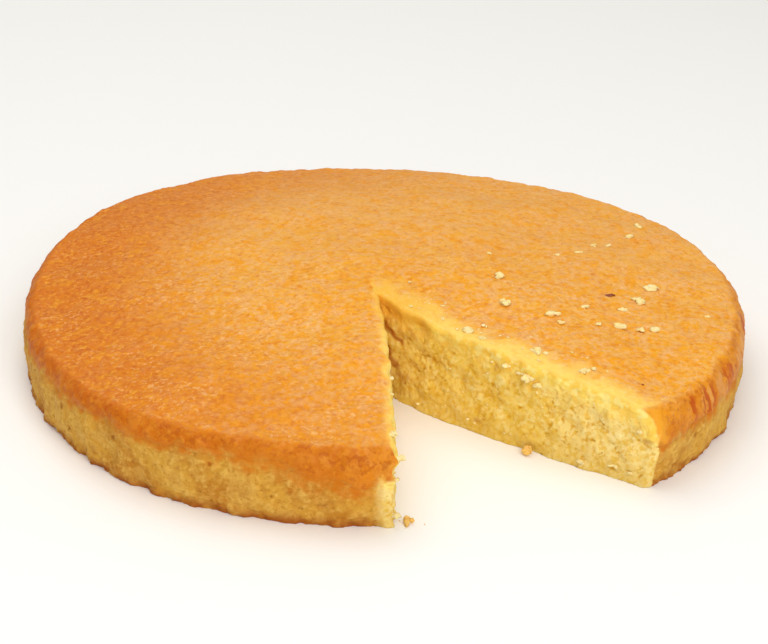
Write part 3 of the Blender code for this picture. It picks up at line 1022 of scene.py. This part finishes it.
def crumb_ball(places, sizes, turns, columns, rows, seed):
    """Points and faces of torn crumbs. Each is a ball on a grid of longitude and latitude, stretched
    to its length, width and height, with clumps of a third and beads of a sixth of its length."""
    longitude = TURN * np.arange(columns) / columns
    latitude = math.pi * (np.arange(1, rows) / rows - 0.5)
    level = np.cos(latitude)[:, None]
    ball = np.stack([level * np.cos(longitude), level * np.sin(longitude)], axis=-1)
    up = np.broadcast_to(np.sin(latitude)[:, None, None], (rows - 1, columns, 1))
    ball = np.concatenate([ball, up], axis=-1).reshape(-1, 3)
    ball = np.concatenate([ball, [(0.0, 0.0, -1.0), (0.0, 0.0, 1.0)]])
    spread = np.arange(len(places))[:, None] * 10.0
    clump, _ = strewn(ball * 1.3 + spread[..., None], 1.0, seed)
    bead, _ = strewn(ball * 1.3 + spread[..., None], 0.5, seed + 1)
    swell = 0.85 + 0.8 * (clump - 0.45) + 0.5 * (0.4 - bead)
    shaped = 0.5 * sizes[:, None, :] * ball * swell[..., None]
    cos, sin = np.cos(turns)[:, None], np.sin(turns)[:, None]
    x, y = cos * shaped[..., 0] - sin * shaped[..., 1], sin * shaped[..., 0] + cos * shaped[..., 1]
    points = np.stack([x, y, shaped[..., 2]], axis=-1) + places[:, None, :]

    corner = np.arange(rows - 2)[:, None] * columns + np.arange(columns)
    beside = np.arange(rows - 2)[:, None] * columns + np.roll(np.arange(columns), -1)
    quads = np.stack([corner, beside, beside + columns, corner + columns], axis=-1).reshape(-1, 4)
    south = (rows - 1) * columns + 0 * corner[0]
    below = np.stack([beside[0], corner[0], south], axis=-1)
    above = np.stack([corner[-1] + columns, beside[-1] + columns, south + 1], axis=-1)
    first = (np.arange(len(places)) * len(ball))[:, None, None]
    faces = [(first + kind).reshape(-1, kind.shape[-1]) for kind in (quads, below, above)]
    return points.reshape(-1, 3), faces, np.clip(0.3 + 0.9 * (clump - 0.4), 0.0, 1.0).ravel()


def torn_lumps(places, sizes, rng):
    """Places and sizes of the lumps that make up each large crumb: they lie a little off its middle
    and are about two thirds as large, so that its outline is torn."""
    shift = rng.uniform(-LUMP_SHIFT, LUMP_SHIFT, (len(places), CRUMB_LUMPS, 3)) * (1.0, 1.0, 0.5)
    share = rng.uniform(*LUMP_SHARE, (len(places), CRUMB_LUMPS, 1)) * rng.uniform(0.65, 1.35, shift.shape)
    lumps = places[:, None, :] + shift * sizes[:, None, :]
    return lumps.reshape(-1, 3), (share * sizes[:, None, :]).reshape(-1, 3)


def make_crumbs(name, large, small, seed, material, warmth=0.0):
    """One piece of large and small crumbs: each kind is (places, sizes). The large ones are made of
    torn lumps, and the small ones have fewer faces. Warm ones come from nearer the crust."""
    points, faces, hollows, start = [], [], [], 0
    rng = np.random.default_rng(seed)
    kinds = ((torn_lumps(*large, rng), LUMP_GRID, 71), (small, FINE_GRID, 81))
    for (places, sizes), grid, cell_seed in kinds:
        turns = rng.uniform(0.0, TURN, len(places))
        more, patches, hollow = crumb_ball(places, sizes, turns, *grid, cell_seed)
        faces += [face for patch in patches for face in (patch + start).tolist()]
        points.append(more)
        hollows.append(hollow)
        start += len(more)
    points = np.concatenate(points)
    points[:, 2] = np.maximum(points[:, 2], 0.0)
    piece = new_piece(name, points, faces, material)
    keep_share(piece.data, "hollow", np.concatenate(hollows))
    keep_share(piece.data, "warmth", np.full(len(points), warmth))
    return piece


def top_places(plan, sizes):
    """Places on the cake's top for crumbs at plan places: each sinks in a little."""
    x, y = unbaked(*np.array(plan, float).T)
    points = baked(x, y, dome(np.hypot(x, y)))
    points[:, 2] += 0.18 * sizes[:, 2]
    return points


def crumb_sizes(lengths, seed):
    """Length, width and height of crumbs of the given lengths."""
    rng = np.random.default_rng(seed)
    shape = rng.uniform((1.0, 0.6, 0.35), (1.3, 0.95, 0.65), (len(lengths), 3))
    return np.array(lengths)[:, None] * shape


def make_top_crumbs(material):
    """Crumbs that fell on the top beside the cut: the ones that show singly, and fine ones strewn
    among them, most of them near the right-hand knife face."""
    plan = np.array(TOP_CRUMBS)
    sizes = crumb_sizes(plan[:, 2], 91)
    rng = np.random.default_rng(92)
    along = rng.uniform(*FINE_ALONG, FINE_CRUMBS)
    least, more = FINE_OFF
    off = least + rng.exponential(more, FINE_CRUMBS)
    x, y = cut_plan(-1, along)
    fine_plan = np.stack([x + off * AWAY[-1][0], y + off * AWAY[-1][1]], axis=-1)
    fine_plan = fine_plan[np.hypot(*fine_plan.T) < CRUST_RADIUS - 2.0 * SHOULDER_WIDTH]
    fine_sizes = crumb_sizes(rng.uniform(*FINE_LENGTHS, len(fine_plan)), 93)
    large = (top_places(plan[:, :2], sizes), sizes)
    small = (top_places(fine_plan, fine_sizes), fine_sizes)
    return make_crumbs("top_crumbs", large, small, 101, material)


def make_cut_crumbs(material):
    """Crumbs that cling to the knife faces and their edges."""
    places, lengths = [], []
    for side, along, up, length, stand in CUT_CRUMBS:
        place = knife_place(side, along, up)
        x, y = unbaked(place[0], place[1])
        point = baked(x, y, np.array(up))
        point[:2] += knife_relief(point[None])[0] - stand * AWAY[side]
        places.append(point)
        lengths.append(length)
    large = (np.array(places), crumb_sizes(lengths, 94))
    rng = np.random.default_rng(95)
    sides = np.where(rng.uniform(size=FINE_CUT_CRUMBS) < FINE_CUT_RIGHT, -1, 1)
    fine = []
    for side in (-1, 1):
        chosen = int((sides == side).sum())
        x, y = cut_plan(side, rng.uniform(*FINE_CUT_ALONG, chosen))
        z = dome(np.hypot(x, y)) * rng.uniform(*FINE_CUT_UP, chosen)
        points = baked(*unbaked(x, y), z)
        points[:, :2] += knife_relief(points) - 0.25 * AWAY[side]
        fine.append(points)
    fine = np.concatenate(fine)
    small = (fine, crumb_sizes(rng.uniform(*FINE_CUT_LENGTHS, len(fine)), 96))
    return make_crumbs("cut_crumbs", large, small, 102, material)


def make_floor_crumbs(material):
    """Crumbs that lie beside the cake, large ones where they are named and fine ones near them."""
    plan = np.array(FLOOR_CRUMBS)
    sizes = plan[:, 2:] * FLOOR_CRUMB_SHAPE
    places = np.stack([plan[:, 0], plan[:, 1], 0.45 * sizes[:, 2]], axis=-1)
    rng = np.random.default_rng(98)
    fine = places[rng.integers(0, len(places), FINE_FLOOR_CRUMBS)]
    fine_sizes = crumb_sizes(rng.uniform(*FINE_FLOOR_LENGTHS, FINE_FLOOR_CRUMBS), 99)
    fine[:, :2] += rng.normal(0.0, FINE_FLOOR_SPREAD, (FINE_FLOOR_CRUMBS, 2))
    fine[:, 2] = 0.5 * fine_sizes[:, 2]
    return make_crumbs("floor_crumbs", (places, sizes), (fine, fine_sizes), 103, material, FLOOR_WARMTH)


def make_flecks(material):
    """Two scorched flecks on the top: a long one and a dot."""
    plan = np.array(FLECKS)
    sizes = plan[:, 2:5]
    places = top_places(plan[:, :2], 0.0 * sizes)
    points, patches, _ = crumb_ball(places, sizes, plan[:, 5], *FLECK_GRID, 73)
    faces = [face for patch in patches for face in patch.tolist()]
    return new_piece("scorched_flecks", points, faces, material)


# ---------------------------------------------------------------------------------------------
# Materials


def colour(hex_code):
    """An sRGB hex colour as the linear colour that a socket takes."""
    values = [int(hex_code[i : i + 2], 16) / 255.0 for i in (0, 2, 4)]
    return (*[v / 12.92 if v <= 0.04045 else ((v + 0.055) / 1.055) ** 2.4 for v in values], 1.0)


def fill(tree, node, sockets):
    """Gives each named socket of a node its value or its link."""
    for name, value in sockets.items():
        if isinstance(value, bpy.types.NodeSocket):
            tree.links.new(value, node.inputs[name])
        else:
            node.inputs[name].default_value = value


def add(tree, kind, sockets=None, **settings):
    """Adds one node with its settings and fills its sockets."""
    made = tree.nodes.new(kind)
    for name, value in settings.items():
        setattr(made, name, value)
    fill(tree, made, sockets or {})
    return made


def per_mm(size):
    """Scale of a pattern on Object coordinates whose features are this many mm across."""
    return 1.0 / (size * MM)


def blotches(tree, place, size, low, high, detail=2.0):
    """A share from 0 to 1 that comes and goes in soft blotches: noise, read between two levels."""
    noise = add(tree, "ShaderNodeTexNoise", {"Vector": place, "Scale": per_mm(size), "Detail": detail})
    levels = {"Value": noise.outputs["Fac"], "From Min": low, "From Max": high}
    return add(tree, "ShaderNodeMapRange", levels, interpolation_type="SMOOTHSTEP").outputs["Result"]


def coats(tree, base, layers):
    """A colour built up like paint: each coat is (strength, tone, shares), laid over the last by its
    strength times all of its shares."""
    result = colour(base) if isinstance(base, str) else base
    for strength, tone, *shares in layers:
        for share in shares:
            product = add(tree, "ShaderNodeMath", {0: share, 1: strength}, operation="MULTIPLY")
            strength = product.outputs["Value"]
        tone = colour(tone) if isinstance(tone, str) else tone
        mixed = add(tree, "ShaderNodeMix", {0: strength, 6: result, 7: tone}, data_type="RGBA")
        result = mixed.outputs[2]
    return result


def attribute(tree, name, low, high):
    """A vertex attribute, read between two levels."""
    read = add(tree, "ShaderNodeAttribute", attribute_name=name)
    levels = {"Value": read.outputs["Fac"], "From Min": low, "From Max": high}
    return add(tree, "ShaderNodeMapRange", levels, interpolation_type="SMOOTHSTEP").outputs["Result"]


def ragged_attribute(tree, place, name, size, swing, low, high):
    """A vertex attribute whose level wanders by a noise of this size in mm, read between two levels."""
    noise = add(tree, "ShaderNodeTexNoise", {"Vector": place, "Scale": per_mm(size), "Detail": 3.0})
    read = add(tree, "ShaderNodeAttribute", attribute_name=name)
    sockets = {0: noise.outputs["Fac"], 1: swing, 2: read.outputs["Fac"]}
    level = add(tree, "ShaderNodeMath", sockets, operation="MULTIPLY_ADD").outputs["Value"]
    levels = {"Value": level, "From Min": low + 0.5 * swing, "From Max": high + 0.5 * swing}
    return add(tree, "ShaderNodeMapRange", levels, interpolation_type="SMOOTHSTEP").outputs["Result"]


def new_material(name):
    """A material, its node tree, its shader and the place of each point on the piece."""
    made = bpy.data.materials.new(name)
    made.use_nodes = True
    tree = made.node_tree
    place = add(tree, "ShaderNodeTexCoord").outputs["Object"]
    return made, tree, tree.nodes["Principled BSDF"], place


def tin_baked(tree, place):
    """Colour of sponge that baked against the tin: ochre yellow, blotched and freckled, orange just
    below the crust, brown in its pits and along the foot."""
    return coats(
        tree,
        "D29B38",
        (
            (0.8, "B8741A", blotches(tree, place, 14.0, 0.45, 0.58)),
            (0.55, "DEAE50", blotches(tree, place, 7.0, 0.46, 0.6, 3.0)),
            (0.65, "E4B658", attribute(tree, "hollow", 0.4, 0.05)),
            (0.45, "E6BA5A", blotches(tree, place, 1.7, 0.5, 0.7, 3.0)),
            (0.55, "B97A1E", blotches(tree, place, 1.3, 0.53, 0.7)),
            (0.85, "A4601A", attribute(tree, "hollow", 0.42, 1.0)),
            (0.9, "CE720C", ragged_attribute(tree, place, "below_hem", 2.5, 1.6, 1.4, -0.1)),
            (0.9, "9C4A0A", attribute(tree, "height", 0.42, 0.02), blotches(tree, place, 5.0, 0.2, 0.6)),
            (0.85, "9C4E12", attribute(tree, "stain_and_hole_shade", 0.1, 0.9)),
        ),
    )


def cut_crumb(tree, place):
    """Colour of the crumb that the knife opened: pale yellow where it stands out and saturated ochre
    in its holes, which is painted light on its clumps and painted shade in its pores; palest towards
    the outside, and in the moist band under the crust bright yellow with painted highlights, which
    turns amber near the tip as painted shade of the cut's inner corner."""
    moist = ragged_attribute(tree, place, "depth", 3.0, 1.0, 0.95, 0.2)
    # Beyond this distance from the tip the moist band gets painted highlights.
    painted_highlight_share = attribute(tree, "from_tip", 0.16, 0.4)
    # Near the tip the moist band turns amber, as painted shade of the cut's inner corner.
    inner = attribute(tree, "from_tip", 0.32, 0.1)
    return coats(
        tree,
        "EECA62",
        (
            (0.4, "E8BE4C", blotches(tree, place, 9.0, 0.4, 0.65)),
            # Painted light: the clumps that stand out are paler.
            (0.62, "F4DE94", attribute(tree, "hollow", 0.4, 0.1)),
            (0.5, "F8E2A0", attribute(tree, "from_tip", 0.58, 0.85)),
            (0.75, "FCDC72", attribute(tree, "from_tip", 0.45, 0.12)),
            (0.32, "FAE4A2", blotches(tree, place, 2.0, 0.5, 0.64, 3.0)),
            (0.4, "E6B830", blotches(tree, place, 3.2, 0.5, 0.62, 3.0)),
            (0.6, "E4B022", blotches(tree, place, 1.5, 0.51, 0.64)),
            # Painted shade: the pores are darker, saturated ochre.
            (0.9, "DA9E0A", attribute(tree, "hollow", 0.44, 0.9)),
            (0.35, "D0A63E", attribute(tree, "height", 1.3, 0.1)),
            (0.9, "FFD65E", moist),
            (0.35, "F6B430", moist, blotches(tree, place, 5.0, 0.45, 0.6)),
            # Painted highlights: pale yellow patches in the moist band, away from the tip.
            (0.8, "FFE68E", moist, blotches(tree, place, 2.4, 0.46, 0.6, 3.0), painted_highlight_share),
            # Painted shade of the inner corner: amber in the moist band near the tip.
            (0.75, "F2B030", moist, inner),
            # Stains, and painted shade where the smears stand for holes.
            (0.85, "B4620C", attribute(tree, "stain_and_hole_shade", 0.1, 0.9)),
        ),
    )


def side_crumb(tree, place):
    """How much of each point of the side is baked against the tin, and its colour: next to the cut the
    bare crumb shows."""
    tin = ragged_attribute(tree, place, "bare", 2.5, 0.7, 0.9, 0.1)
    return tin, coats(tree, cut_crumb(tree, place), ((1.0, tin_baked(tree, place), tin),))


def finish_crumb(tree, shader, place, tone, share, rough, softness=0.3):
    """Sets what all of the cake's surfaces have: a soft open grain, a weak shine whose roughness goes
    from the first of two values to the second as the share grows, and light that goes a little way
    into the crumb, by the softness."""
    levels = {"Value": share, "To Min": rough[0], "To Max": rough[1]}
    roughness = add(tree, "ShaderNodeMapRange", levels)
    grain = add(tree, "ShaderNodeTexNoise", {"Vector": place, "Scale": per_mm(GRAIN_SIZE), "Detail": 3.0})
    relief = {"Height": grain.outputs["Fac"], "Strength": 0.8, "Distance": GRAIN_DEPTH * MM}
    bump = add(tree, "ShaderNodeBump", relief)
    looks = {
        "Base Color": tone,
        "Roughness": roughness.outputs["Result"],
        "Normal": bump.outputs["Normal"],
        "IOR": 1.4,
        "Specular IOR Level": 0.2,
        "Subsurface Weight": softness,
        "Subsurface Radius": (1.0, 0.7, 0.3),
        "Subsurface Scale": 1.5 * MM,
    }
    fill(tree, shader, looks)


def sponge_crumb():
    """Lemon sponge, baked and cut: open, matt, slightly see-through crumb, and browned where it baked
    against the tin."""
    made, tree, shader, place = new_material("lemon_sponge_crumb")
    tin, tone = side_crumb(tree, place)
    finish_crumb(tree, shader, place, tone, tin, (0.85, 0.7))
    return made


def browned_crust():
    """Sponge crust browned by the oven and brushed with syrup: gold in the middle, deep orange at
    the shoulder, fine sugary grain with a low satin gloss, whose glints are painted as pale specks. At a
    knife face it runs out through amber, with painted highlights along its rounded edge, into the open
    crumb, and below its lower edge into the side that baked against the tin."""
    made, tree, shader, place = new_material("browned_cake_crust")
    shoulder = attribute(tree, "shoulder", 0.6, 1.0)
    edge = ragged_attribute(tree, place, "off_cut", 7.0, 1.6, 1.15, 0.15)
    rim = ragged_attribute(tree, place, "off_cut", 3.0, 0.5, 0.3, -0.1)
    # Painted highlights: pale patches along the rounded edge of the cut.
    corner = ragged_attribute(tree, place, "off_cut", 3.0, 0.6, 0.6, 0.2)
    on_top = attribute(tree, "shoulder", 1.0, 0.4)
    # Patches where pale specks paint the glints of the sugary grain.
    painted_glint_patches = blotches(tree, place, 26.0, 0.36, 0.54)
    stipple = attribute(tree, "stipple", 0.0, 1.0)
    toast = attribute(tree, "toast", 0.0, 1.0)
    skin = coats(
        tree,
        "E9A646",
        (
            (0.5, "F4B450", blotches(tree, place, 32.0, 0.44, 0.58)),
            (0.6, "E49B40", blotches(tree, place, 15.0, 0.46, 0.6, 3.0)),
            (0.35, "F6B84C", stipple),
            (0.75, "CE6C10", toast, blotches(tree, place, 20.0, 0.15, 0.5)),
            (0.5, "F0AA2C", attribute(tree, "from_tip", 0.36, 0.06)),
            (0.6, "EAAA62", blotches(tree, place, 7.0, 0.48, 0.6, 3.0)),
            (0.8, "F09C10", blotches(tree, place, 5.0, 0.5, 0.6, 3.0)),
            (0.5, "EFB672", attribute(tree, "hollow", 0.42, 0.1)),
            (0.6, "EEB26A", blotches(tree, place, 2.6, 0.5, 0.63, 3.0)),
            (0.85, "F2A208", blotches(tree, place, 2.3, 0.51, 0.61), stipple),
            (0.5, "DE840C", attribute(tree, "hollow", 0.45, 0.95), stipple),
            (0.35, "DC7E10", blotches(tree, place, 1.6, 0.52, 0.68), stipple),
            (0.5, "C4600C", toast, blotches(tree, place, 6.0, 0.5, 0.62, 3.0)),
            (0.76, "D97806", toast),
            (0.4, "D2700A", attribute(tree, "toast", 0.5, 1.0)),
            (0.35, "F4A81E", blotches(tree, place, 6.0, 0.54, 0.64, 3.0), on_top),
            (0.5, "C05A0A", toast, blotches(tree, place, 2.0, 0.52, 0.64)),
            (0.5, "F2A838", toast, blotches(tree, place, 1.5, 0.54, 0.66)),
            (0.8, "E08C10", shoulder, ragged_attribute(tree, place, "shoulder", 4.0, 1.0, 0.6, 1.0)),
            (0.85, "C05A04", shoulder, toast),
            (0.6, "C66A08", shoulder, blotches(tree, place, 8.0, 0.44, 0.6, 3.0)),
            (0.3, "E69A28", shoulder, blotches(tree, place, 2.0, 0.48, 0.62, 3.0)),
            (0.5, "B04C06", shoulder, blotches(tree, place, 1.8, 0.5, 0.64)),
            (0.25, "F0A438", shoulder, attribute(tree, "hollow", 0.4, 0.05)),
            (0.6, "E2A25A", ragged_attribute(tree, place, "drip", 1.8, 1.0, 0.1, 0.75)),
            (0.9, "BE500C", ragged_attribute(tree, place, "drip", 1.8, 1.0, 0.05, -0.6)),
            (0.95, "FFD468", edge, on_top),
            (0.3, "F8AA26", edge, on_top, blotches(tree, place, 3.0, 0.52, 0.62, 3.0)),
            # Painted highlight along the rounded edge of the cut.
            (0.6, "FFDC78", rim, on_top, blotches(tree, place, 3.0, 0.45, 0.6, 3.0)),
            (0.75, "F5B434", edge, on_top, attribute(tree, "from_tip", 0.32, 0.1)),
            # Painted glints: pale specks on the sugary grain.
            (0.3, "FFD694", blotches(tree, place, 1.3, 0.55, 0.68), on_top, painted_glint_patches, stipple),
            (0.85, "EFA424", corner, attribute(tree, "toast", 0.4, 0.15), shoulder),
            # Stains, and painted shade where the smears stand for holes.
            (0.85, "9C4E12", attribute(tree, "stain_and_hole_shade", 0.1, 0.9)),
        ),
    )
    on_side = ragged_attribute(tree, place, "below_hem", 2.8, 2.2, -0.6, 0.8)
    on_face = ragged_attribute(tree, place, "off_cut", 2.5, 0.2, 0.0, -0.12)
    seam = attribute(tree, "seam", 0.0, 1.0)
    _, side = side_crumb(tree, place)
    cut = cut_crumb(tree, place)
    tone = coats(tree, skin, ((1.0, side, on_side), (1.0, side, seam), (1.0, cut, on_face)))
    finish_crumb(tree, shader, place, tone, on_face, (0.5, 0.85))
    return made


def loose_crumb():
    """Dry crumb of the same sponge, broken off: paler than the cut face, since its thin edges let
    light through."""
    made, tree, shader, place = new_material("dry_sponge_crumb")
    tone = coats(
        tree,
        "FDE7A2",
        (
            (0.6, "ECC462", attribute(tree, "hollow", 0.35, 0.95)),
            (0.6, "FFF0C4", blotches(tree, place, 1.2, 0.5, 0.7)),
            (0.4, "F0C25A", blotches(tree, place, 2.5, 0.54, 0.68)),
            (0.75, "F2B440", attribute(tree, "warmth", 0.0, 1.0)),
        ),
    )
    finish_crumb(tree, shader, place, tone, attribute(tree, "hollow", 0.0, 1.0), (0.8, 0.9), 0.08)
    return made


def scorched_peel():
    """A fleck of peel that burnt in the oven: dark red brown, hard and a little glossy."""
    made, tree, shader, place = new_material("scorched_peel")
    tone = coats(tree, "A8501C", ((0.7, "6E2A0E", blotches(tree, place, 1.4, 0.45, 0.6)),))
    fill(tree, shader, {"Base Color": tone, "Roughness": 0.45})
    return made


def glazed_table():
    """Plain pale cream ground with a soft gloss, as glazed earthenware has."""
    made, tree, shader, _ = new_material("pale_glaze")
    fill(tree, shader, {"Base Color": colour("FCFBF8"), "Roughness": 0.5})
    return made


# ---------------------------------------------------------------------------------------------
# The scene


def make_floor():
    """The ground that the cake lies on: one square."""
    corners = FLOOR_HALF * np.array([(-1, -1, 0), (1, -1, 0), (1, 1, 0), (-1, 1, 0)])
    floor = new_piece("floor", corners, [[0, 1, 2, 3]], glazed_table())


def make_light(name, place, aim, size, power):
    """A square area light that faces a point of the cake."""
    light = bpy.data.lights.new(name, "AREA")
    light.size = size * MM
    light.energy = power
    holder = bpy.data.objects.new(name, light)
    bpy.context.scene.collection.objects.link(holder)
    towards = np.array(aim) - np.array(place)
    yaw = math.atan2(-towards[0], towards[1])
    pitch = math.atan2(math.hypot(towards[0], towards[1]), -towards[2])
    holder.rotation_euler = Euler((pitch, 0.0, yaw))
    holder.location = np.array(place) * MM


def make_camera():
    """The camera: it looks down by its pitch, turned by its yaw and tilted by its roll."""
    camera = bpy.data.cameras.new("camera")
    camera.lens = CAMERA_LENS
    camera.sensor_width = SENSOR_WIDTH
    camera.sensor_fit = "HORIZONTAL"
    camera.clip_start = 0.01
    holder = bpy.data.objects.new("camera", camera)
    bpy.context.scene.collection.objects.link(holder)
    turn = Matrix.Rotation(math.radians(CAMERA_YAW), 4, "Z")
    tilt = Matrix.Rotation(math.radians(90.0 - CAMERA_PITCH), 4, "X")
    roll = Matrix.Rotation(math.radians(CAMERA_ROLL), 4, "Z")
    place = Matrix.Translation([value * MM for value in CAMERA_PLACE])
    holder.matrix_world = place @ turn @ tilt @ roll
    bpy.context.scene.camera = holder


def make_world():
    """Even, slightly warm light from all round."""
    world = bpy.data.worlds.new("studio")
    world.use_nodes = True
    tree = world.node_tree
    fill(tree, tree.nodes["Background"], {"Color": colour("FFFDF8"), "Strength": WORLD_STRENGTH})
    bpy.context.scene.world = world


make_camera()
make_world()
make_floor()
for light in LIGHTS:
    make_light(*light)

crumb = sponge_crumb()
dry_crumb = loose_crumb()
pieces = [make_sponge(crumb), make_crust(browned_crust())]
pieces += [make_top_crumbs(dry_crumb), make_cut_crumbs(dry_crumb), make_floor_crumbs(dry_crumb)]
pieces.append(make_flecks(scorched_peel()))
for piece in pieces:
    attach(piece, "root")
for piece in pieces[:2]:
    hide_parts("lemon_cake")

scene = bpy.context.scene
scene.view_settings.view_transform = "Standard"
scene.cycles.use_denoising = True
